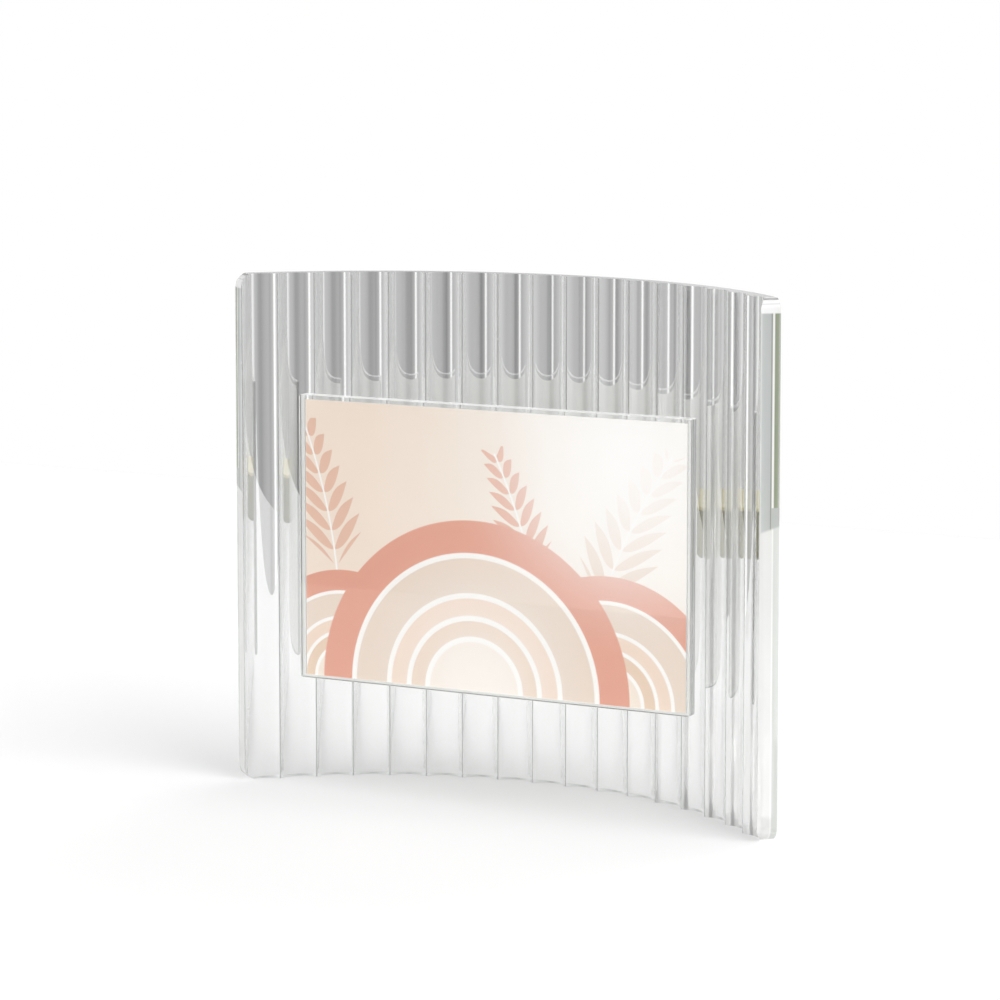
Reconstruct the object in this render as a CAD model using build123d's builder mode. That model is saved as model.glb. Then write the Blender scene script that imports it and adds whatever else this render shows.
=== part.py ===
"""A free-standing picture frame.

A curved glass panel, fluted on its hollow side, stands on its lower edge. A flat photo pocket of two
clear sheets floats in front of it, across the curve, on one clear block. The print drops into the
pocket from above. X runs to the viewer's right, Y away from the viewer and Z up. The origin is on the
ground, at the middle of the frame's width and depth.
"""

import os
from math import asin, cos, degrees, radians, sin

from build123d import *

os.makedirs("parts", exist_ok=True)

# Fluted panel, measured at its sharp ridges, which all lie on one circle
panel_height = 186.0
ridge_radius = 136.3
panel_thickness = 7.1
flute_count = 17
flute_angle = 5.68
flute_depth = 2.75
ridge_land = 0.5
panel_corner_radius = 5.0

# Print, a standard 15 x 10 cm one
print_width = 150.0
print_height = 100.0
print_thickness = 0.3

# Photo pocket
sheet_thickness = 2.0
print_play = 0.15
print_side_gap = 0.3
side_strip_width = 1.6
bottom_strip_height = 1.0
top_margin = 1.8
sheet_corner_radius = 0.8
pocket_bottom = 41.3
standoff = 42.6

# Block that carries the pocket, with its two bonding pads
block_width = 48.0
block_height = 18.5
block_bevel = 1.0
pad_thickness = 0.5
pad_margin = 1.5
glue_line = 0.05

# Sizes that follow from those above
strip_thickness = print_thickness + 2 * print_play
pocket_thickness = 2 * sheet_thickness + strip_thickness
sheet_width = print_width + 2 * (print_side_gap + side_strip_width)
sheet_height = bottom_strip_height + print_height + top_margin
pocket_middle = pocket_bottom + sheet_height / 2
back_radius = ridge_radius + panel_thickness
half_angle = flute_angle * flute_count / 2

# Depths along Y, first from the centre of the panel's curve, then from the origin
pocket_front_depth = ridge_radius - standoff - pocket_thickness
panel_front_depth = ridge_radius * cos(radians(half_angle))
curve_centre = -(min(pocket_front_depth, panel_front_depth) + back_radius) / 2
pocket_front = curve_centre + pocket_front_depth
strip_front = pocket_front + sheet_thickness
back_sheet_front = strip_front + strip_thickness
pocket_back = back_sheet_front + sheet_thickness


def around(radius, angle):
    """Point in plan on the panel's curve, with the angle in degrees from straight back."""
    return (radius * sin(radians(angle)), curve_centre + radius * cos(radians(angle)))


def upright(depth):
    """Plane that faces the viewer, at a depth along Y."""
    return Plane.XZ.offset(-depth)


def sheet_outline():
    """Outline of either sheet, seen from the front."""
    with Locations((0, pocket_middle)):
        RectangleRounded(sheet_width, sheet_height, sheet_corner_radius)


def keep_box(left, right, bottom, top):
    """Cut the sketch down to the stretch between these four edges."""
    with Locations(((left + right) / 2, (bottom + top) / 2)):
        Rectangle(right - left, top - bottom, mode=Mode.INTERSECT)


def save(part, name):
    """Label a finished piece and write it under its name."""
    part.label = name
    export_step(part, f"parts/{name}.step")


# Fluted panel: hollow flutes towards the viewer, a smooth back and flat ends
land_angle = degrees(2 * asin(ridge_land / 2 / ridge_radius))

with BuildPart() as fluted_panel:
    with BuildSketch():
        with BuildLine():
            for flute in range(flute_count):
                left = flute_angle * flute - half_angle
                start = left + (land_angle / 2 if flute > 0 else 0)
                right = left + flute_angle
                end = right - (land_angle / 2 if flute < flute_count - 1 else 0)
                ThreePointArc(
                    around(ridge_radius, start),
                    around(ridge_radius + flute_depth, left + flute_angle / 2),
                    around(ridge_radius, end),
                )
                if flute < flute_count - 1:
                    Line(around(ridge_radius, end), around(ridge_radius, end + land_angle))
            Line(around(ridge_radius, half_angle), around(back_radius, half_angle))
            ThreePointArc(
                around(back_radius, half_angle),
                around(back_radius, 0),
                around(back_radius, -half_angle),
            )
            Line(around(back_radius, -half_angle), around(ridge_radius, -half_angle))
        make_face()
    extrude(amount=panel_height)
    ends = fluted_panel.faces().sort_by(Axis.X)
    corners = [edge for end in (ends[0], ends[-1]) for edge in end.edges().group_by(Axis.Z)[0]]
    corners += [edge for end in (ends[0], ends[-1]) for edge in end.edges().group_by(Axis.Z)[-1]]
    fillet(corners, radius=panel_corner_radius)
save(fluted_panel.part, "fluted_panel")

# Front and back sheets of the pocket
with BuildPart() as front_sheet:
    with BuildSketch(upright(pocket_front)):
        sheet_outline()
    extrude(amount=-sheet_thickness)
save(front_sheet.part, "front_sheet")

with BuildPart() as back_sheet:
    with BuildSketch(upright(back_sheet_front)):
        sheet_outline()
    extrude(amount=-sheet_thickness)
save(back_sheet.part, "back_sheet")

# Thin strips between the sheets: they leave the pocket open at the top
strip_inner = sheet_width / 2 - side_strip_width
strip_foot = pocket_bottom + bottom_strip_height
sheet_top = pocket_bottom + sheet_height

with BuildPart() as bottom_strip:
    with BuildSketch(upright(strip_front)):
        sheet_outline()
        keep_box(-sheet_width / 2, sheet_width / 2, pocket_bottom, strip_foot)
    extrude(amount=-strip_thickness)
save(bottom_strip.part, "bottom_strip")

for side, name in ((-1, "left_strip"), (1, "right_strip")):
    inner, outer = side * strip_inner, side * sheet_width / 2
    with BuildPart() as side_strip:
        with BuildSketch(upright(strip_front)):
            sheet_outline()
            keep_box(min(inner, outer), max(inner, outer), strip_foot, sheet_top)
        extrude(amount=-strip_thickness)
    save(side_strip.part, name)

# Print, standing on the bottom strip
with BuildPart() as photo_print:
    with BuildSketch(upright(strip_front + print_play)):
        with Locations((0, strip_foot + print_height / 2)):
            Rectangle(print_width, print_height)
    extrude(amount=-print_thickness)
save(photo_print.part, "photo_print")

# Block behind the pocket's middle, its back end shaped to the circle of the ridges
block_front = pocket_back + pad_thickness
block_radius = ridge_radius - glue_line - pad_thickness

with BuildPart() as support_block:
    with BuildSketch(Plane.XY.offset(pocket_middle - block_height / 2)):
        with Locations((0, curve_centre)):
            Circle(block_radius)
        with Locations((0, block_front + block_radius / 2)):
            Rectangle(block_width, block_radius, mode=Mode.INTERSECT)
    extrude(amount=block_height)
    chamfer(support_block.edges().filter_by(Axis.Y), length=block_bevel)
save(support_block.part, "support_block")

# Bonding pads: a flat one on the back sheet, a curved one on the ridges
with BuildPart() as front_pad:
    with BuildSketch(upright(pocket_back)):
        with Locations((0, pocket_middle)):
            Rectangle(block_width - 2 * pad_margin, block_height - 2 * pad_margin)
    extrude(amount=-pad_thickness)
save(front_pad.part, "front_pad")

with BuildPart() as rear_pad:
    with BuildSketch(Plane.XY.offset(pocket_middle - block_height / 2 + pad_margin)):
        with Locations((0, curve_centre)):
            Circle(block_radius + pad_thickness)
            Circle(block_radius, mode=Mode.SUBTRACT)
        with Locations((0, curve_centre + block_radius)):
            Rectangle(block_width - 2 * pad_margin, block_width, mode=Mode.INTERSECT)
    extrude(amount=block_height - 2 * pad_margin)
save(rear_pad.part, "rear_pad")
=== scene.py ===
# %% [markdown]
# A table photo frame: one curved glass panel, fluted on its hollow side, and a flat clear pocket that
# floats in front of it with the print inside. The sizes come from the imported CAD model, which is loaded
# first and never moved. Everything made here is in metres and in the same frame: X to the viewer's right,
# Y away from the viewer, Z up.

# %% Load the frame
from math import atan2, cos, degrees, hypot, pi, radians, sin

import bmesh
import bpy
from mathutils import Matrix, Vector


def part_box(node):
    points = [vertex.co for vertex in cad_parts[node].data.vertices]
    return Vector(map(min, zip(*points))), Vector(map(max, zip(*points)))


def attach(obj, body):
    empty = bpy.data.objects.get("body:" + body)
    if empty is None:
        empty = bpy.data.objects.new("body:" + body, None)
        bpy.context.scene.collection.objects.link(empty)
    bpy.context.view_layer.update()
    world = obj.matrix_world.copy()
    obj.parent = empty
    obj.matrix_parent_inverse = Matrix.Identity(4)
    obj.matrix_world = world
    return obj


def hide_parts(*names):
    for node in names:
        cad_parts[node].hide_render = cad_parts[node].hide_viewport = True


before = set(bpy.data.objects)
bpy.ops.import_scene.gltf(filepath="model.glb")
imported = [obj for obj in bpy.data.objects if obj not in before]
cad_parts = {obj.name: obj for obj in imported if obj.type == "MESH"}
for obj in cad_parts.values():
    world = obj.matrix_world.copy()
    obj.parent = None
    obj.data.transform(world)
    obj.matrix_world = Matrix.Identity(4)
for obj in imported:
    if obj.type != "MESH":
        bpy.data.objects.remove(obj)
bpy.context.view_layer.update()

scene = bpy.context.scene
mm = 0.001

# %% [markdown]
# The camera comes first, because the photograph fixes it. Its place was fitted to the ends of the
# eighteen ridges and the pocket's corners. A lens shift of 0.15 keeps the upright edges nearly parallel,
# as a product photographer's shift lens does, and the rest of the fit is a small downward tilt.

# %% Camera
# The place is in metres, the focal length in mm and the shift in widths of the frame
CAMERA_PLACE = (0.5776, -1.1425, 0.3012)
CAMERA_TURN, CAMERA_TILT = radians(27.21), radians(6.24)
LENS_LENGTH, LENS_SHIFT = 130.7, -0.15
NEAREST_SEEN = 0.01

camera_data = bpy.data.cameras.new("camera")
camera_data.lens = LENS_LENGTH
camera_data.shift_y = LENS_SHIFT
camera_data.clip_start = NEAREST_SEEN
camera = bpy.data.objects.new("camera", camera_data)
camera.location = CAMERA_PLACE
camera.rotation_euler = (pi / 2 - CAMERA_TILT, 0, CAMERA_TURN)
scene.collection.objects.link(camera)
scene.camera = camera
print("camera", round(hypot(*camera.location), 3), "m from the origin")

# %% [markdown]
# Materials are built from nodes, and typing each node out hides what the recipe does. One small helper
# adds a node, sets its options and either links or fills each input, so that a recipe reads top to
# bottom. A value that is another node's socket is linked, and any other value is typed in.


# %% Node helper
def add(tree, kind, options=None, **inputs):
    """Add a node. An input name has _ for a space, and a trailing number picks an unnamed repeat."""
    node = tree.nodes.new(kind)
    for option, value in (options or {}).items():
        setattr(node, option, value)
    for name, value in inputs.items():
        socket = node.inputs[int(name[1:]) if name[1:].isdigit() else name.replace("_", " ")]
        if isinstance(value, bpy.types.NodeSocket):
            tree.links.new(value, socket)
        else:
            socket.default_value = value
    return node


def calc(tree, operation, first, second=None, third=None, clamp=False):
    """One Math node, giving its result."""
    inputs = {f"i{k}": v for k, v in enumerate((first, second, third)) if v is not None}
    options = {"operation": operation, "use_clamp": clamp}
    return add(tree, "ShaderNodeMath", options, **inputs).outputs[0]


def soften(tree, value, low, high, start=0.0, end=1.0):
    """Turn low..high into start..end with eased ends."""
    options = {"interpolation_type": "SMOOTHSTEP"}
    return add(tree, "ShaderNodeMapRange", options, Value=value, From_Min=low, From_Max=high,
               To_Min=start, To_Max=end).outputs[0]


def blend_colour(tree, amount, below, above):
    """Mix two colours."""
    mix = add(tree, "ShaderNodeMix", {"data_type": "RGBA"}, Factor=amount, A=below, B=above)
    return mix.outputs["Result"]


def fill_ramp(node, stops):
    """Give a Color Ramp its stops, as pairs of position and grey level or colour."""
    elements = node.color_ramp.elements
    while len(elements) < len(stops):
        elements.new(0.5)
    for element, (position, _) in zip(elements, stops):
        element.position = position
    for element, (_, level) in zip(elements, stops):
        element.color = (*level, 1) if isinstance(level, tuple) else (level, level, level, 1)


def new_material(name):
    """A material with only an output and a Principled shader."""
    material = bpy.data.materials.new(name)
    material.use_nodes = True
    tree = material.node_tree
    return material, tree, tree.nodes["Principled BSDF"]


def object_place(tree):
    """Object coordinates, which stay with a piece when it slides."""
    return add(tree, "ShaderNodeTexCoord").outputs["Object"]


print("helpers ready")

# %% [markdown]
# The studio is a white table with one large soft lamp at the right, which throws the faint shadow to the
# left. Weaker lamps all round fill the rest, and most of them cast no shadow. Clear glass shows little of
# its own: what one sees is the room in its flutes. So the world has a level for each direction. It is
# pale at both sides and darker behind the camera, with one narrow bright window a little to the left, and
# a dark patch where the camera looks straight through the glass. The camera itself sees plain white.

# %% World
# Each stop is a direction in degrees, from straight towards the viewer (0) and growing to the right,
# and the level of light that the glass sees there. The window is at -24, and the dark patch at -152.
ROOM_LEVELS = [
    (-180, 0.65), (-176, 0.85), (-171, 0.9), (-167, 0.66), (-160, 0.5), (-156, 0.4), (-153, 0.24),
    (-150, 0.24), (-148, 0.44), (-144, 0.52), (-138, 0.52), (-132, 0.72), (-100, 1.0), (-84, 1.05),
    (-72, 0.75), (-60, 0.5), (-42, 0.46), (-35, 0.4), (-29, 0.66), (-26, 1.45), (-21, 1.45), (-18, 0.75),
    (-14, 0.42), (0, 0.28), (8, 0.42), (20, 0.46), (42, 0.45), (56, 0.5), (72, 0.55), (82, 1.2),
    (130, 0.6), (180, 0.65),
]
WORLD_FILL = 0.14  # The even level that everything but glass gets

world = bpy.data.worlds.new("studio")
scene.world = world
world.use_nodes = True
tree = world.node_tree
direction = add(tree, "ShaderNodeSeparateXYZ", i0=add(tree, "ShaderNodeTexCoord").outputs["Generated"])
towards_viewer = calc(tree, "MULTIPLY", direction.outputs["Y"], -1.0)
bearing = calc(tree, "ARCTAN2", direction.outputs["X"], towards_viewer)
along_ramp = calc(tree, "MULTIPLY_ADD", bearing, 1 / (2 * pi), 0.5)
room = add(tree, "ShaderNodeValToRGB", Fac=along_ramp)
fill_ramp(room, [((angle + 180) / 360, level) for angle, level in ROOM_LEVELS])
light_path = add(tree, "ShaderNodeLightPath")
in_glass = calc(tree, "MAXIMUM", light_path.outputs["Is Glossy Ray"],
                light_path.outputs["Is Transmission Ray"])
no_diffuse_yet = calc(tree, "LESS_THAN", light_path.outputs["Diffuse Depth"], 0.5)
mirrored = calc(tree, "MULTIPLY", in_glass, no_diffuse_yet)
room_or_fill = blend_colour(tree, mirrored, (WORLD_FILL,) * 3 + (1,), room.outputs["Color"])
seen = blend_colour(tree, light_path.outputs["Is Camera Ray"], room_or_fill, (1, 1, 1, 1))
tree.links.new(seen, tree.nodes["Background"].inputs["Color"])
print("world with", len(ROOM_LEVELS), "levels of room light")

# %% Floor
# The table ends 0.4 m in front of the glass, and its right edge is cut on the slant. Those edges are
# where the flutes at the left stop mirroring the white table and mirror the room.
TABLE_FRONT, TABLE_BACK, TABLE_SIDE = -0.4, 0.62, 1.3
SLANT_POINT, SLANT_FACING = (0.341, 0.22, 0.0), (0.74, 0.673, 0.0)
TABLE_DROP = 0.2 * mm
TABLE_GREY, TABLE_GREY_SEEN = (0.71, 0.71, 0.71, 1), (0.755, 0.755, 0.755, 1)
bpy.ops.object.select_all(action="DESELECT")
bpy.ops.mesh.primitive_plane_add(size=1, location=(0, (TABLE_FRONT + TABLE_BACK) / 2, -TABLE_DROP))
floor = bpy.context.object
floor.scale = (2 * TABLE_SIDE, TABLE_BACK - TABLE_FRONT, 1)
bpy.ops.object.transform_apply(location=True, rotation=True, scale=True)
bpy.ops.object.mode_set(mode="EDIT")
bpy.ops.mesh.select_all(action="SELECT")
bpy.ops.mesh.bisect(plane_co=SLANT_POINT, plane_no=SLANT_FACING, clear_outer=True)
bpy.ops.object.mode_set(mode="OBJECT")
floor.name = "floor"
floor_material, tree, shader = new_material("white table")
shader.inputs["Base Color"].default_value = TABLE_GREY
shader.inputs["Roughness"].default_value = 0.8
to_camera = add(tree, "ShaderNodeBsdfDiffuse", Color=TABLE_GREY_SEEN)
floor_mix = add(tree, "ShaderNodeMixShader", Fac=add(tree, "ShaderNodeLightPath").outputs["Is Camera Ray"],
                i1=shader.outputs[0], i2=to_camera.outputs[0])
tree.links.new(floor_mix.outputs[0], tree.nodes["Material Output"].inputs["Surface"])
floor.data.materials.append(floor_material)
print("floor", [round(v, 2) for v in floor.dimensions])


# %% Lamps
LAMP_SPREAD = radians(50)


def soft_lamp(name, bearing, height, strength, shadow=True):
    """A distant soft box. The glass doesn't mirror it, since the world already holds what it mirrors."""
    lamp = bpy.data.lights.new(name, "SUN")
    lamp.angle, lamp.energy, lamp.use_shadow = LAMP_SPREAD, strength, shadow
    holder = bpy.data.objects.new(name, lamp)
    holder.rotation_euler = (pi / 2 - radians(height), 0, radians(bearing))
    holder.visible_glossy = False
    holder.visible_transmission = False
    scene.collection.objects.link(holder)


# Bearing and height are in degrees. A bearing of 0 is on the viewer's side, and 90 is at the right.
soft_lamp("key", 77, 33, 2.4)
soft_lamp("side", 120, 50, 0.26)
soft_lamp("back", 170, 25, 2.45, shadow=False)
soft_lamp("front", -20, 10, 1.95, shadow=False)
soft_lamp("top", 0, 90, 1.0, shadow=False)

# %% [markdown]
# Polished glass and acrylic are never perfectly clean. Faint wiped smears change how sharp a reflection
# is. They are wanted on every clear piece, at different strengths, so they are one node group with named
# inputs and outputs.


# %% Group: wiped surface
def new_group(name, inputs, outputs):
    """An empty node group. Inputs are name: (socket type, value); outputs are name: socket type."""
    group = bpy.data.node_groups.new(name, "ShaderNodeTree")
    for label, (kind, value) in inputs.items():
        socket = group.interface.new_socket(label, in_out="INPUT", socket_type="NodeSocket" + kind)
        if value is not None:
            socket.default_value = value
    for label, kind in outputs.items():
        group.interface.new_socket(label, in_out="OUTPUT", socket_type="NodeSocket" + kind)
    return group, group.nodes.new("NodeGroupInput").outputs, group.nodes.new("NodeGroupOutput").inputs


wiped, given, result = new_group(
    "wiped surface",
    {"Vector": ("Vector", None), "Clean": ("Float", 0.0), "Smeared": ("Float", 0.03),
     "Smear Scale": ("Float", 14.0)},
    {"Roughness": "Float"},
)
stretched = add(wiped, "ShaderNodeMapping", Vector=given["Vector"], Rotation=(0.0, 0.5, 0.0),
                Scale=(1.0, 1.0, 2.6))
smears = add(wiped, "ShaderNodeTexNoise", Vector=stretched.outputs[0], Scale=given["Smear Scale"],
             Detail=5.0, Roughness=0.55).outputs["Fac"]
smear_mask = soften(wiped, smears, 0.45, 0.75)
spread = calc(wiped, "SUBTRACT", given["Smeared"], given["Clean"])
wiped.links.new(calc(wiped, "MULTIPLY_ADD", smear_mask, spread, given["Clean"]), result["Roughness"])


def wipe(tree, shader, place, clean, smeared):
    """Link the wiped smears to a shader's roughness, from its clean to its smeared parts."""
    marks = add(tree, "ShaderNodeGroup", {"node_tree": wiped}, Vector=place, Clean=clean, Smeared=smeared)
    tree.links.new(marks.outputs["Roughness"], shader.inputs["Roughness"])


def let_lamps_through(tree, shader, shade):
    """Let lamplight through a clear piece, dimmed by shade, as real clear plastic does."""
    through = add(tree, "ShaderNodeBsdfTransparent", Color=(shade, shade, shade, 1))
    is_lamplight = add(tree, "ShaderNodeLightPath").outputs["Is Shadow Ray"]
    lamp_or_eye = add(tree, "ShaderNodeMixShader", Fac=is_lamplight, i1=shader.outputs[0],
                      i2=through.outputs[0])
    tree.links.new(lamp_or_eye.outputs[0], tree.nodes["Material Output"].inputs["Surface"])


GLASS_IOR = 1.49


def clear_finish(name, tint, clean=0.0, smeared=0.02, shade=0.94, transmission=1.0, metallic=0.0):
    """A clear, polished material with wiped smears."""
    material, tree, shader = new_material(name)
    shader.inputs["Base Color"].default_value = (*tint, 1)
    shader.inputs["Metallic"].default_value = metallic
    shader.inputs["IOR"].default_value = GLASS_IOR
    shader.inputs["Transmission Weight"].default_value = transmission
    wipe(tree, shader, object_place(tree), clean, smeared)
    let_lamps_through(tree, shader, shade)
    return material


print("group", wiped.name, "with", len(wiped.nodes), "nodes")

# %% [markdown]
# The flutes of the real panel mirror the pocket's back, its block and the room far more strongly than
# plain glass would, while the panel's back stays plain. That is a half silvered front, so the flutes get
# a finish that is half mirror and half glass, and the rest of the panel is plain glass. Sawn and ground
# places, such as the lands, the panel's top and the sheets' rims, are frosted and let little through. The
# lands are also painted dark grey, painted shade for the dark lines along the ridges, and the panel's top
# and the sheets' top edges are painted nearly white, a painted highlight.

# %% Clear finishes
flute_glass = clear_finish("half silvered flutes", (0.97, 0.975, 0.97), shade=0.38, metallic=0.5)
body_glass = clear_finish("panel glass", (0.975, 0.985, 0.975), shade=0.85)
sheet_glass = clear_finish("pocket sheet", (0.995, 0.997, 0.995), smeared=0.015, shade=0.99)
# The lands are painted dark grey: painted shade for the dark lines along the ridges
land_painted_shade = clear_finish("ridge land", (0.45, 0.45, 0.45), 0.15, 0.3, transmission=0.3)
rim_glass = clear_finish("sheet rim", (0.84, 0.85, 0.84), 0.04, 0.12, transmission=0.5)
# The sheets' top edges are painted nearly white, a painted highlight
top_rim_painted_highlight = clear_finish("sheet top edge", (0.93, 0.94, 0.93), 0.04, 0.12, transmission=0.15)
# The panel's top is painted nearly white, a painted highlight
top_painted_highlight = clear_finish("panel top", (0.8, 0.805, 0.8), 0.06, 0.15, shade=0.9, transmission=0.05)
print("clear finishes made")

# %% [markdown]
# New pieces are made by hand-like steps: add a primitive at its size, cut and extend it in edit mode,
# then leave its origin at the frame's with its place in its mesh. These helpers pick parts of a mesh
# by where they are, which is what one would do with the mouse.


# %% Modelling helpers
def deselect_all():
    """Leave edit mode and let go of every object."""
    if bpy.context.object and bpy.context.object.mode != "OBJECT":
        bpy.ops.object.mode_set(mode="OBJECT")
    bpy.ops.object.select_all(action="DESELECT")


def begin_edit():
    """Go into edit mode with nothing selected."""
    bpy.ops.object.mode_set(mode="EDIT")
    bpy.ops.mesh.select_mode(type="VERT")
    bpy.ops.mesh.select_all(action="DESELECT")


def pick(kind, wanted):
    """In edit mode, select just the verts, edges or faces for which wanted is true."""
    bpy.ops.mesh.select_mode(type={"verts": "VERT", "edges": "EDGE", "faces": "FACE"}[kind])
    bpy.ops.mesh.select_all(action="DESELECT")
    mesh = bmesh.from_edit_mesh(bpy.context.object.data)
    mesh.normal_update()
    count = 0
    for item in getattr(mesh, kind):
        if wanted(item):
            item.select_set(True)
            count += 1
    mesh.select_flush_mode()
    bmesh.update_edit_mesh(bpy.context.object.data)
    return count


def finish_piece(name, materials, body, replaced, smooth_angle=30):
    """Name a piece, place it in its mesh, shade it and hand it to the frame."""
    if bpy.context.object.mode != "OBJECT":
        bpy.ops.object.mode_set(mode="OBJECT")
    piece = bpy.context.object
    piece.name = piece.data.name = name
    bpy.ops.object.transform_apply(location=True, rotation=True, scale=True)
    bpy.ops.object.shade_smooth_by_angle(angle=radians(smooth_angle))
    for material in materials:
        piece.data.materials.append(material)
    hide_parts(replaced)
    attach(piece, body)
    deselect_all()
    print(name, len(piece.data.polygons), "faces", [round(v / mm, 2) for v in piece.dimensions])
    return piece


# %% [markdown]
# The panel is a slice of a thick ring, hollow side forward, with seventeen hollow flutes. One flute is a
# slice of a slim cylinder. It is cut once and spun round the ring's centre, seventeen times in all, which
# is how a glass mould is ground. Narrow flat lands join the flutes, a wide cylinder's slice gives the
# smooth back, and the open ends are closed with faces.

# %% Panel sizes
RIDGE_RADIUS = 136.3 * mm
PANEL_THICKNESS = 7.1 * mm
FLUTE_COUNT = 17
FLUTE_STEP = radians(5.68)
FLUTE_DEPTH = 2.75 * mm
RIDGE_LAND = 0.5 * mm
CORNER_RADIUS = 5.0 * mm
FLUTE_SIDES, BACK_SIDES = 160, 720  # Sides of the whole cylinders that the flutes and the back come from
CLOSE = 0.01 * mm  # Points nearer than this count as being in one place

panel_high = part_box("fluted_panel")[1]
panel_height = panel_high.z
back_radius = RIDGE_RADIUS + PANEL_THICKNESS
ring_centre = panel_high.y - back_radius
half_angle = FLUTE_STEP * FLUTE_COUNT / 2
land_angle = RIDGE_LAND / RIDGE_RADIUS


def outward(angle):
    """Unit vector from the ring's centre, with the angle clockwise from straight back."""
    return Vector((sin(angle), cos(angle), 0))


def along(angle):
    """Unit vector along the ring, towards the viewer's right."""
    return Vector((cos(angle), -sin(angle), 0))


ring_axis = Vector((0, ring_centre, 0))
half_chord = RIDGE_RADIUS * sin((FLUTE_STEP - land_angle) / 2)
chord_distance = RIDGE_RADIUS * cos((FLUTE_STEP - land_angle) / 2)
rise = RIDGE_RADIUS + FLUTE_DEPTH - chord_distance
flute_radius = (half_chord ** 2 + rise ** 2) / (2 * rise)
print("flute radius", round(flute_radius / mm, 2), "mm, half angle", round(degrees(half_angle), 2))

# %% First flute, cut from a slim cylinder
deselect_all()
first_angle = -half_angle + FLUTE_STEP / 2
flute_axis = ring_axis + outward(first_angle) * (RIDGE_RADIUS + FLUTE_DEPTH - flute_radius)
bpy.ops.mesh.primitive_cylinder_add(
    vertices=FLUTE_SIDES, radius=flute_radius, depth=panel_height, end_fill_type="NOTHING",
    location=(flute_axis.x, flute_axis.y, panel_height / 2), rotation=(0, 0, -first_angle))
bpy.ops.object.transform_apply(location=True, rotation=True, scale=True)
panel = bpy.context.object
begin_edit()
bpy.ops.mesh.select_all(action="SELECT")
bpy.ops.mesh.bisect(plane_co=ring_axis + outward(first_angle) * chord_distance,
                    plane_no=outward(first_angle), clear_inner=True)
print("one flute has", len(bmesh.from_edit_mesh(panel.data).faces), "faces")

# %% All flutes, spun round the ring's centre
bpy.ops.mesh.select_all(action="SELECT")
bpy.ops.mesh.spin(steps=FLUTE_COUNT - 1, dupli=True, angle=FLUTE_STEP * (FLUTE_COUNT - 1),
                  center=ring_axis, axis=(0, 0, 1))


def angle_of(point):
    """Angle of a point round the ring, clockwise from straight back."""
    return atan2(point.x, point.y - ring_centre)


def radius_of(point):
    """Distance of a point from the ring's axis."""
    return hypot(point.x, point.y - ring_centre)


for ridge in range(1, FLUTE_COUNT):
    ridge_angle = ridge * FLUTE_STEP - half_angle
    pick("verts", lambda v: abs(angle_of(v.co) - ridge_angle) < land_angle * 0.6
         and radius_of(v.co) < RIDGE_RADIUS + CLOSE)
    bpy.ops.mesh.edge_face_add()
print("flutes span", round(degrees(2 * half_angle), 2), "degrees")

# %% End lips, which carry the outer flutes to the panel's ends
for side in (-1, 1):
    lip_angle = side * (half_angle - land_angle / 2)
    pick("verts", lambda v: abs(angle_of(v.co) - lip_angle) < land_angle * 0.1)
    step = (outward(side * half_angle) - outward(lip_angle)) * RIDGE_RADIUS
    bpy.ops.mesh.extrude_region_move(TRANSFORM_OT_translate={"value": step})
bpy.ops.object.mode_set(mode="OBJECT")

# %% Smooth back, cut from a wide cylinder
deselect_all()
bpy.ops.mesh.primitive_cylinder_add(
    vertices=BACK_SIDES, radius=back_radius, depth=panel_height, end_fill_type="NOTHING",
    location=(0, ring_centre, panel_height / 2))
bpy.ops.object.transform_apply(location=True, rotation=True, scale=True)
begin_edit()
for side in (-1, 1):
    bpy.ops.mesh.select_all(action="SELECT")
    bpy.ops.mesh.bisect(plane_co=ring_axis, plane_no=along(side * half_angle) * side, clear_outer=True)
bpy.ops.object.mode_set(mode="OBJECT")
panel.select_set(True)
bpy.context.view_layer.objects.active = panel
bpy.ops.object.join()
print("front and back joined,", len(panel.data.polygons), "faces")

# %% Ends, foot and top
SAME_ANGLE = 0.0002

begin_edit()
bpy.ops.mesh.select_all(action="SELECT")
bpy.ops.mesh.remove_doubles(threshold=CLOSE / 5)
for side in (-1, 1):
    pick("verts", lambda v: abs(angle_of(v.co) - side * half_angle) < SAME_ANGLE)
    bpy.ops.mesh.edge_face_add()
for level in (0, panel_height):
    pick("verts", lambda v: abs(v.co.z - level) < CLOSE)
    bpy.ops.mesh.edge_face_add()
open_edges = pick("edges", lambda e: not e.is_manifold)
print("open edges left in the panel:", open_edges)

# %% Rounded corners, ground by ten flat cuts each
CORNER_CUTS = 10
for side in (-1, 1):
    sideways = along(side * half_angle) * side
    end_point = ring_axis + outward(side * half_angle) * RIDGE_RADIUS
    for upright in (-1, 1):
        heights = Vector((0, 0, upright))
        corner = end_point + Vector((0, 0, panel_height if upright > 0 else 0))
        pivot = corner - (sideways + heights) * CORNER_RADIUS
        for cut in range(CORNER_CUTS):
            lean = radians(90 * (cut + 0.5) / CORNER_CUTS)
            slope = sideways * cos(lean) + heights * sin(lean)
            bpy.ops.mesh.select_all(action="SELECT")
            bpy.ops.mesh.bisect(plane_co=pivot + slope * CORNER_RADIUS, plane_no=slope,
                                use_fill=True, clear_outer=True)
bpy.ops.mesh.select_all(action="SELECT")
bpy.ops.mesh.normals_make_consistent(inside=False)
open_edges = pick("edges", lambda e: not e.is_manifold)
print("open edges after the corners:", open_edges)
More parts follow.
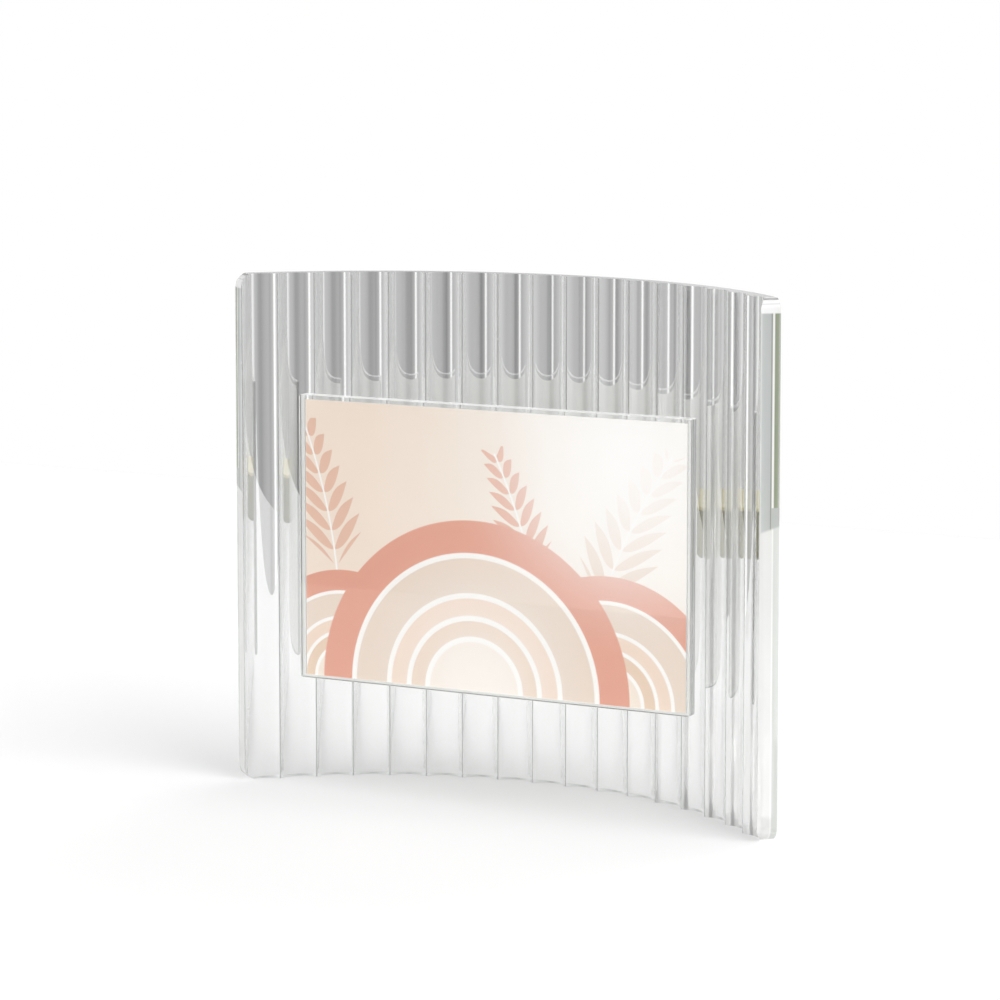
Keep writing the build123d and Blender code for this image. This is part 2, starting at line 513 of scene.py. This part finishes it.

# %% [markdown]
# The end's colour is painted light, the light that a polished end would gather: green along its back, a
# painted bright line beside it, and painted white where the table would shine in from below. The rounded
# corner at the top is painted white with two fine lines across it, a painted highlight. Both sets of bands
# run from the end's front (0) to its back (1).

# %% End glass
TABLE_SHINE, PAINTED_GREEN_FOOT = 107 * mm, 115 * mm
TOP_SHINE = panel_height - CORNER_RADIUS
FRONT_HALF, FRONT_HALF_END = 0.57, 0.585
SHINE_SLANT, SHINE_SOFTNESS = 2.2 * mm, 1.2 * mm
# Bands of painted light across the end's depth: painted reflections and a painted bright line
UPPER_PAINTED_LIGHT = [
    (0.0, (0.72, 0.73, 0.72)), (0.1, (0.52, 0.54, 0.53)), (0.5, (0.46, 0.48, 0.47)),
    (0.57, (0.22, 0.24, 0.21)), (0.62, (0.86, 0.86, 0.85)), (0.68, (0.86, 0.86, 0.85)),
    (0.73, (0.27, 0.31, 0.21)), (0.88, (0.32, 0.36, 0.26)), (1.0, (0.58, 0.6, 0.57)),
]
LOWER_PAINTED_LIGHT = [
    (0.0, (0.7, 0.7, 0.69)), (0.3, (0.76, 0.76, 0.75)), (0.6, (0.76, 0.76, 0.75)),
    (0.66, (0.9, 0.9, 0.89)), (0.72, (0.66, 0.68, 0.65)), (1.0, (0.7, 0.72, 0.69)),
]
PAINTED_FOOT_OF_UPPER = (0.47, 0.49, 0.47, 1)
CAP_PAINTED_HIGHLIGHT = (0.86, 0.86, 0.86, 1)
CAP_PAINTED_LINES = [(0.4 * mm, 0.35 * mm, 0.35), (1.9 * mm, 0.2 * mm, 0.6)]  # Depth, half width and grey level
LINE_SOFTNESS = 0.15 * mm

painted_end_glass, tree, shader = new_material("panel end")
place = object_place(tree)
axes = add(tree, "ShaderNodeSeparateXYZ", i0=place)
height = axes.outputs["Z"]
behind_axis = calc(tree, "SUBTRACT", axes.outputs["Y"], ring_centre)
in_plan = add(tree, "ShaderNodeCombineXYZ", X=axes.outputs["X"], Y=behind_axis).outputs[0]
from_axis = add(tree, "ShaderNodeVectorMath", {"operation": "LENGTH"}, i0=in_plan).outputs["Value"]
depth_share = calc(tree, "DIVIDE", calc(tree, "SUBTRACT", from_axis, RIDGE_RADIUS), PANEL_THICKNESS)
upper_painted_light = add(tree, "ShaderNodeValToRGB", Fac=depth_share)
fill_ramp(upper_painted_light, UPPER_PAINTED_LIGHT)
lower_painted_light = add(tree, "ShaderNodeValToRGB", Fac=depth_share)
fill_ramp(lower_painted_light, LOWER_PAINTED_LIGHT)

in_front_half = soften(tree, depth_share, FRONT_HALF_END, FRONT_HALF)
above_green_foot = soften(tree, height, PAINTED_GREEN_FOOT - 0.2 * mm, PAINTED_GREEN_FOOT + 0.2 * mm)
gathered = calc(tree, "MAXIMUM", in_front_half, above_green_foot)
upper_painted_colour = blend_colour(tree, gathered, PAINTED_FOOT_OF_UPPER, upper_painted_light.outputs["Color"])
slanted_height = calc(tree, "MULTIPLY_ADD", depth_share, -SHINE_SLANT, height)
in_upper = soften(tree, slanted_height, TABLE_SHINE - SHINE_SOFTNESS, TABLE_SHINE)
end_painted_light = blend_colour(tree, in_upper, lower_painted_light.outputs["Color"], upper_painted_colour)

in_cap = soften(tree, height, TOP_SHINE - 0.3 * mm, TOP_SHINE + 0.3 * mm)
from_top = calc(tree, "SUBTRACT", panel_height, height)
# The rounded cap is painted white with two painted lines, a painted highlight
cap_painted_highlight = CAP_PAINTED_HIGHLIGHT
for line_depth, line_half, level in CAP_PAINTED_LINES:
    off_line = calc(tree, "ABSOLUTE", calc(tree, "SUBTRACT", from_top, line_depth))
    on_line = soften(tree, off_line, line_half, line_half - LINE_SOFTNESS)
    cap_painted_highlight = blend_colour(tree, on_line, cap_painted_highlight, (level, level, level, 1))
end_painted_light = blend_colour(tree, in_cap, end_painted_light, cap_painted_highlight)

tree.links.new(end_painted_light, shader.inputs["Base Color"])
shader.inputs["Transmission Weight"].default_value = 0.25
shader.inputs["IOR"].default_value = GLASS_IOR
wipe(tree, shader, place, 0.06, 0.15)
let_lamps_through(tree, shader, 0.9)
print("end glass with", len(tree.nodes), "nodes")

# %% Panel finishes
# A face's finish follows from where it faces: towards the ring's axis (-1) or away from it (1), and up.
# The ends and the top are exactly flat and are shaded so, or the round faces beside them would bend them.
PLAIN, FLUTED, END, LAND, TOP = range(5)
EXACTLY, NEARLY, SOMEWHAT = 0.999, 0.98, 0.3

bpy.ops.object.mode_set(mode="OBJECT")
panel = finish_piece("fluted_panel_glass", [body_glass, flute_glass, painted_end_glass, land_painted_shade, top_painted_highlight],
                     "frame", "fluted_panel")
for face in panel.data.polygons:
    face.material_index = PLAIN
    from_ring_axis = Vector((face.center.x, face.center.y - ring_centre, 0)).normalized()
    facing = face.normal.dot(from_ring_axis)
    upward = abs(face.normal.z)
    if upward > EXACTLY or abs(facing) < 1 - EXACTLY:
        face.use_smooth = False
    if facing < -SOMEWHAT and upward < SOMEWHAT:
        face.material_index = LAND if radius_of(face.center) < RIDGE_RADIUS else FLUTED
    elif upward > NEARLY and face.center.z > panel_height / 2:
        face.material_index = TOP
    elif abs(facing) < SOMEWHAT and upward < NEARLY:
        face.material_index = END
counts = [sum(f.material_index == k for f in panel.data.polygons) for k in range(5)]
print("faces of plain, fluted, end, land and top glass:", counts)

# %% [markdown]
# The pocket's two sheets are laser cut and flame polished. Their corners are slightly round, and a fine
# bevel runs round each face, which catches the light as a bright line at the pocket's border. Along the
# top edge the bright line is painted, a painted highlight on the top rim.


# %% Sheets of the pocket
AIR_GAP = 0.02 * mm  # Keeps a sheet's face from lying in one plane with the strips' faces
SHEET_CORNER, SHEET_BEVEL = 0.8 * mm, 0.18 * mm
PLAIN_SHEET, RIM, TOP_RIM = range(3)


def pocket_sheet(name, node, inner):
    """A clear sheet with round corners and fine bevels. The strips touch its inner side, -1 or 1 in Y."""
    low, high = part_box(node)
    low.y, high.y = low.y + AIR_GAP * (inner < 0), high.y - AIR_GAP * (inner > 0)
    centre, size = (low + high) / 2, high - low
    deselect_all()
    bpy.ops.mesh.primitive_cube_add(size=1, location=centre, scale=size)
    bpy.ops.object.transform_apply(location=True, rotation=True, scale=True)
    begin_edit()
    pick("edges", lambda e: abs((e.verts[0].co - e.verts[1].co).normalized().y) > 0.9)
    bpy.ops.mesh.bevel(offset=SHEET_CORNER, segments=5, affect="EDGES")
    pick("edges", lambda e: abs((e.verts[0].co - e.verts[1].co).normalized().y) < 0.1
         and len(e.link_faces) == 2 and e.calc_face_angle() > radians(60))
    bpy.ops.mesh.bevel(offset=SHEET_BEVEL, segments=2, affect="EDGES")
    # Flat shading keeps the big faces true, so that nothing bends behind them
    sheet = finish_piece(name, [sheet_glass, rim_glass, top_rim_painted_highlight], "frame", node,
                         smooth_angle=5)
    for face in sheet.data.polygons:
        side_finish = RIM if abs(face.normal.y) < 0.3 else PLAIN_SHEET
        face.material_index = TOP_RIM if face.normal.z > 0.6 else side_finish


pocket_sheet("front_sheet_clear", "front_sheet", 1)
pocket_sheet("back_sheet_clear", "back_sheet", -1)

# %% [markdown]
# The strips between the sheets, the block and its bonding film keep their CAD solids, because their
# shapes are already right. They only need finishes. A fine dark line of painted shade runs along each
# strip where its joint ends, the inner line fainter towards the left. The block is a cloudy olive, and its
# top is painted a paler khaki, a painted highlight where the light falls on it.

# %% Strip, block and film finishes
STRIP_LINE = 0.2 * mm
FOOT_LINE_SHARE = 0.7


def dress(nodes, material):
    """Give CAD nodes a finish in place of their plain one."""
    for node in nodes:
        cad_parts[node].data.materials.clear()
        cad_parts[node].data.materials.append(material)


strip_low, strip_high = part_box("right_strip")
strip_glass, tree, shader = new_material("pocket strip")
place = object_place(tree)
axes = add(tree, "ShaderNodeSeparateXYZ", i0=place)
off_middle = calc(tree, "ABSOLUTE", axes.outputs["X"])
outer_line = calc(tree, "GREATER_THAN", off_middle, strip_high.x - STRIP_LINE)
above_foot = calc(tree, "GREATER_THAN", axes.outputs["Z"], strip_low.z + STRIP_LINE)
at_inner = calc(tree, "LESS_THAN", off_middle, strip_low.x + STRIP_LINE)
fainter_left = soften(tree, axes.outputs["X"], -strip_high.x, strip_high.x, 0.1, 0.6)
inner_line = calc(tree, "MULTIPLY", calc(tree, "MULTIPLY", at_inner, above_foot), fainter_left)
at_foot = calc(tree, "LESS_THAN", axes.outputs["Z"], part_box("bottom_strip")[0].z + STRIP_LINE)
foot_line = calc(tree, "MULTIPLY", at_foot, FOOT_LINE_SHARE)
on_line = calc(tree, "MAXIMUM", calc(tree, "MAXIMUM", outer_line, inner_line), foot_line)
# The dark line is painted shade in the joints, the inner one fainter towards the left
painted_joint_shade = blend_colour(tree, on_line, (0.78, 0.785, 0.77, 1), (0.36, 0.37, 0.36, 1))
tree.links.new(painted_joint_shade, shader.inputs["Base Color"])
shader.inputs["Transmission Weight"].default_value = 0.3
shader.inputs["IOR"].default_value = GLASS_IOR
wipe(tree, shader, place, 0.05, 0.12)
let_lamps_through(tree, shader, 0.94)
dress(("bottom_strip", "left_strip", "right_strip"), strip_glass)

block_material, tree, shader = new_material("khaki block")
coordinates = add(tree, "ShaderNodeTexCoord")
place = coordinates.outputs["Object"]
cloud = add(tree, "ShaderNodeTexNoise", Vector=place, Scale=60.0, Detail=4.0).outputs["Fac"]
cloud_mask = soften(tree, cloud, 0.35, 0.7)
olive = blend_colour(tree, cloud_mask, (0.12, 0.105, 0.012, 1), (0.19, 0.17, 0.03, 1))
# The top is painted a paler khaki than the olive sides, a painted highlight where the light falls
facing_up = add(tree, "ShaderNodeSeparateXYZ", i0=coordinates.outputs["Normal"]).outputs["Z"]
khaki = blend_colour(tree, soften(tree, facing_up, 0.5, 0.9), olive, (0.74, 0.66, 0.34, 1))
tree.links.new(khaki, shader.inputs["Base Color"])
shader.inputs["IOR"].default_value = GLASS_IOR
wipe(tree, shader, place, 0.12, 0.3)
let_lamps_through(tree, shader, 0.75)
dress(("support_block",), block_material)

film_material, tree, shader = new_material("bonding film")
bubbles = add(tree, "ShaderNodeTexVoronoi", Vector=object_place(tree), Scale=900.0).outputs["Distance"]
film = blend_colour(tree, soften(tree, bubbles, 0.1, 0.3), (0.72, 0.70, 0.52, 1), (0.60, 0.58, 0.40, 1))
tree.links.new(film, shader.inputs["Base Color"])
tree.links.new(soften(tree, bubbles, 0.1, 0.5, 0.25, 0.45), shader.inputs["Roughness"])
shader.inputs["Transmission Weight"].default_value = 0.6
let_lamps_through(tree, shader, 0.85)
dress(("front_pad", "rear_pad"), film_material)
print("finishes on the strips, the block and its film")

# %% [markdown]
# The print is a generic design: concentric arches and leaf sprays in coral, peach and beige on a cream
# ground. It is drawn by nodes on Object coordinates, so it slides with the print. Its unit is the
# print's height, from 0 at the foot to 1 at the top, and 0 to 1.5 across.

# %% Group: arch
# From the middle outwards: where each ring ends, as a share of the radius, and its colour
ARCH_BANDS = [
    (0.30, (0.90, 0.80, 0.70)), (0.42, (0.80, 0.62, 0.48)), (0.55, (0.87, 0.70, 0.58)),
    (0.78, (0.81, 0.69, 0.59)), (1.00, (0.76, 0.36, 0.26)),
]
LINE_COLOUR = (0.97, 0.95, 0.92)
LINE_HALF, LINE_EDGE = 0.016, 0.004
ARCH_EDGE = (0.985, 0.975)

arch, given, result = new_group(
    "arch",
    {"Across": ("Float", 0.0), "Up": ("Float", 0.0), "Centre": ("Float", 0.5), "Radius": ("Float", 0.5)},
    {"Color": "Color", "Mask": "Float"},
)
beside = calc(arch, "SUBTRACT", given["Across"], given["Centre"])
far = calc(arch, "SQRT", calc(arch, "ADD", calc(arch, "MULTIPLY", beside, beside),
                              calc(arch, "MULTIPLY", given["Up"], given["Up"])))
share = calc(arch, "DIVIDE", far, given["Radius"])
bands = add(arch, "ShaderNodeValToRGB", Fac=share)
stops = []
start = 0.0
for end, colour in ARCH_BANDS:
    stops += [(start + LINE_HALF, colour), (end - LINE_HALF - LINE_EDGE, colour)]
    if end < 1:
        stops += [(end - LINE_HALF + LINE_EDGE / 2, LINE_COLOUR),
                  (end + LINE_HALF - LINE_EDGE, LINE_COLOUR)]
    start = end
stops[0] = (0.0, stops[0][1])
fill_ramp(bands, stops)
arch.links.new(bands.outputs["Color"], result["Color"])
arch.links.new(soften(arch, share, *ARCH_EDGE), result["Mask"])
print("arch with", len(stops), "ramp stops")

# %% Group: leaf spray
# A bowed stem with slanted leaves in pairs. Sliding each point back along the stem by its distance from
# the stem turns slanted leaves into square ones, which a repeating cell then draws. The leaves grow
# shorter towards the tip, and the stem's foot is bare.
FIRST_LEAF, LEAF_LOSS = 1.15, 0.75
LEAF_PLUMPNESS, LEAF_SLIMMING, LEAF_EDGE = 0.42, 0.8, 0.05
BARE_FOOT, STEM_TIP = 0.08, 1.03
STEM_EDGE = (0.0045, 0.0025)

spray, given, result = new_group(
    "leaf spray",
    {"Across": ("Float", 0.0), "Up": ("Float", 0.0), "Foot X": ("Float", 0.5), "Foot Z": ("Float", 0.0),
     "Lean": ("Float", 0.0), "Length": ("Float", 0.5), "Cell": ("Float", 0.07), "Leaf": ("Float", 0.12),
     "Bow": ("Float", 0.3)},
    {"Leaf Mask": "Float", "Stem Mask": "Float"},
)
from_x = calc(spray, "SUBTRACT", given["Across"], given["Foot X"])
from_z = calc(spray, "SUBTRACT", given["Up"], given["Foot Z"])
lean_sin, lean_cos = calc(spray, "SINE", given["Lean"]), calc(spray, "COSINE", given["Lean"])
up_stem = calc(spray, "ADD", calc(spray, "MULTIPLY", from_x, lean_sin),
               calc(spray, "MULTIPLY", from_z, lean_cos))
off_line = calc(spray, "SUBTRACT", calc(spray, "MULTIPLY", from_x, lean_cos),
                calc(spray, "MULTIPLY", from_z, lean_sin))
bow = calc(spray, "MULTIPLY", calc(spray, "MULTIPLY", up_stem, up_stem), given["Bow"])
off_stem = calc(spray, "ABSOLUTE", calc(spray, "SUBTRACT", off_line, bow))

slid = calc(spray, "SUBTRACT", up_stem, off_stem)
cell_part = calc(spray, "FRACT", calc(spray, "DIVIDE", slid, given["Cell"]))
from_middle = calc(spray, "ABSOLUTE", calc(spray, "SUBTRACT", cell_part, 0.5))
up_share = calc(spray, "DIVIDE", slid, given["Length"])
length_share = calc(spray, "SUBTRACT", FIRST_LEAF, calc(spray, "MULTIPLY", up_share, LEAF_LOSS))
leaf_length = calc(spray, "MULTIPLY", given["Leaf"], length_share)
out_share = calc(spray, "DIVIDE", off_stem, leaf_length, clamp=True)
along_leaf = calc(spray, "MULTIPLY", calc(spray, "POWER", out_share, LEAF_SLIMMING), pi)
plump = calc(spray, "MULTIPLY", calc(spray, "SINE", along_leaf), LEAF_PLUMPNESS)
in_leaf = soften(spray, calc(spray, "SUBTRACT", plump, from_middle), 0.0, LEAF_EDGE)
beside_stem = calc(spray, "MULTIPLY", calc(spray, "GREATER_THAN", up_share, BARE_FOOT),
                   calc(spray, "LESS_THAN", up_share, 1.0))
spray.links.new(calc(spray, "MULTIPLY", in_leaf, beside_stem), result["Leaf Mask"])

on_stem = soften(spray, off_stem, *STEM_EDGE)
below_tip = calc(spray, "LESS_THAN", calc(spray, "DIVIDE", up_stem, given["Length"]), STEM_TIP)
above_ground = calc(spray, "GREATER_THAN", up_stem, 0.0)
stem_reach = calc(spray, "MULTIPLY", above_ground, below_tip)
spray.links.new(calc(spray, "MULTIPLY", on_stem, stem_reach), result["Stem Mask"])
print("leaf spray with", len(spray.nodes), "nodes")

# %% Print material
print_low, print_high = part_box("photo_print")
print_height = print_high.z - print_low.z

print_material, tree, shader = new_material("photo paper")
coordinates = add(tree, "ShaderNodeTexCoord")
unit_place = add(tree, "ShaderNodeMapping", {"vector_type": "POINT"}, Vector=coordinates.outputs["Object"],
                 Location=(-print_low.x / print_height, 0, -print_low.z / print_height),
                 Scale=(1 / print_height,) * 3)
axes = add(tree, "ShaderNodeSeparateXYZ", i0=unit_place.outputs[0])
across, up = axes.outputs["X"], axes.outputs["Z"]

# Ground: peach at the left, paler to the right, with faint darker washes
ground = blend_colour(tree, soften(tree, across, 0.1, 1.3), (0.90, 0.77, 0.66, 1), (0.93, 0.88, 0.82, 1))
washes = add(tree, "ShaderNodeTexNoise", Vector=unit_place.outputs[0], Scale=2.2, Detail=3.0).outputs["Fac"]
ground = blend_colour(tree, soften(tree, washes, 0.4, 0.8, 0.0, 0.35), ground, (0.86, 0.72, 0.60, 1))

# Leaf sprays and arches, from the back to the front. A spray has its foot, lean, length, spacing of
# leaves, leaf length and colour. An arch has its centre and radius.
SPRAYS = [
    ((1.16, 0.30), 0.30, 0.62, 0.075, 0.15, (0.80, 0.66, 0.55)),
    ((0.13, 0.36), -0.10, 0.55, 0.070, 0.13, (0.79, 0.52, 0.40)),
    ((0.92, 0.40), -0.22, 0.46, 0.060, 0.11, (0.78, 0.44, 0.33)),
]
SPRAY_BOW = 0.25
ARCHES = [(1.20, 0.46), (0.16, 0.40), (0.68, 0.62)]
art = ground
for (foot_x, foot_z), lean, length, cell, leaf, colour in SPRAYS:
    drawn = add(tree, "ShaderNodeGroup", {"node_tree": spray}, Across=across, Up=up, Foot_X=foot_x,
                Foot_Z=foot_z, Lean=lean, Length=length, Cell=cell, Leaf=leaf,
                Bow=SPRAY_BOW if lean > 0 else -SPRAY_BOW)
    art = blend_colour(tree, drawn.outputs["Leaf Mask"], art, (*colour, 1))
    art = blend_colour(tree, drawn.outputs["Stem Mask"], art, (*LINE_COLOUR, 1))
for centre, radius in ARCHES:
    drawn = add(tree, "ShaderNodeGroup", {"node_tree": arch}, Across=across, Up=up, Centre=centre,
                Radius=radius)
    art = blend_colour(tree, drawn.outputs["Mask"], art, drawn.outputs["Color"])

# A painted glare, soft white painted highlights over the design: centre, reach and strength
PAINTED_GLARES = [((1.28, 0.86), 0.72, 0.85), ((0.70, 0.05), 0.46, 0.5)]
PAINTED_GLARE_COLOUR = (1.0, 0.99, 0.98, 1)
for (centre_x, centre_z), reach, strength in PAINTED_GLARES:
    beside = calc(tree, "SUBTRACT", across, centre_x)
    above = calc(tree, "SUBTRACT", up, centre_z)
    away = calc(tree, "SQRT", calc(tree, "ADD", calc(tree, "MULTIPLY", beside, beside),
                                   calc(tree, "MULTIPLY", above, above)))
    art = blend_colour(tree, soften(tree, away, 0.0, reach, strength, 0.0), art, PAINTED_GLARE_COLOUR)

# The design is only on the front. The back and the cut edges are paper with painted shade, grey and
# painted paler near the top, and the flutes mirror it.
PAPER_PAINTED_SHADE, PAPER_PAINTED_LIGHT = ((0.70, 0.695, 0.68, 1), (0.76, 0.755, 0.74, 1)), (0.90, 0.895, 0.88, 1)
place = coordinates.outputs["Object"]
grain = add(tree, "ShaderNodeTexNoise", Vector=place, Scale=2400.0, Detail=2.0).outputs["Fac"]
paper = blend_colour(tree, soften(tree, up, 0.78, 0.98), blend_colour(tree, grain, *PAPER_PAINTED_SHADE), PAPER_PAINTED_LIGHT)
facing_y = add(tree, "ShaderNodeSeparateXYZ", i0=coordinates.outputs["Normal"]).outputs["Y"]
is_front = calc(tree, "LESS_THAN", facing_y, -0.5)
tree.links.new(blend_colour(tree, is_front, paper, art), shader.inputs["Base Color"])
tree.links.new(soften(tree, grain, 0.3, 0.7, 0.32, 0.42), shader.inputs["Roughness"])
fibre = add(tree, "ShaderNodeBump", Height=grain, Distance=0.02 * mm, Strength=0.4)
tree.links.new(fibre.outputs[0], shader.inputs["Normal"])
shader.inputs["Specular IOR Level"].default_value = 0.4
dress(("photo_print",), print_material)
print("print material with", len(tree.nodes), "nodes")

# %% [markdown]
# Last come the view settings. The second has to stay inside the first.

scene.view_settings.view_transform = "Standard"
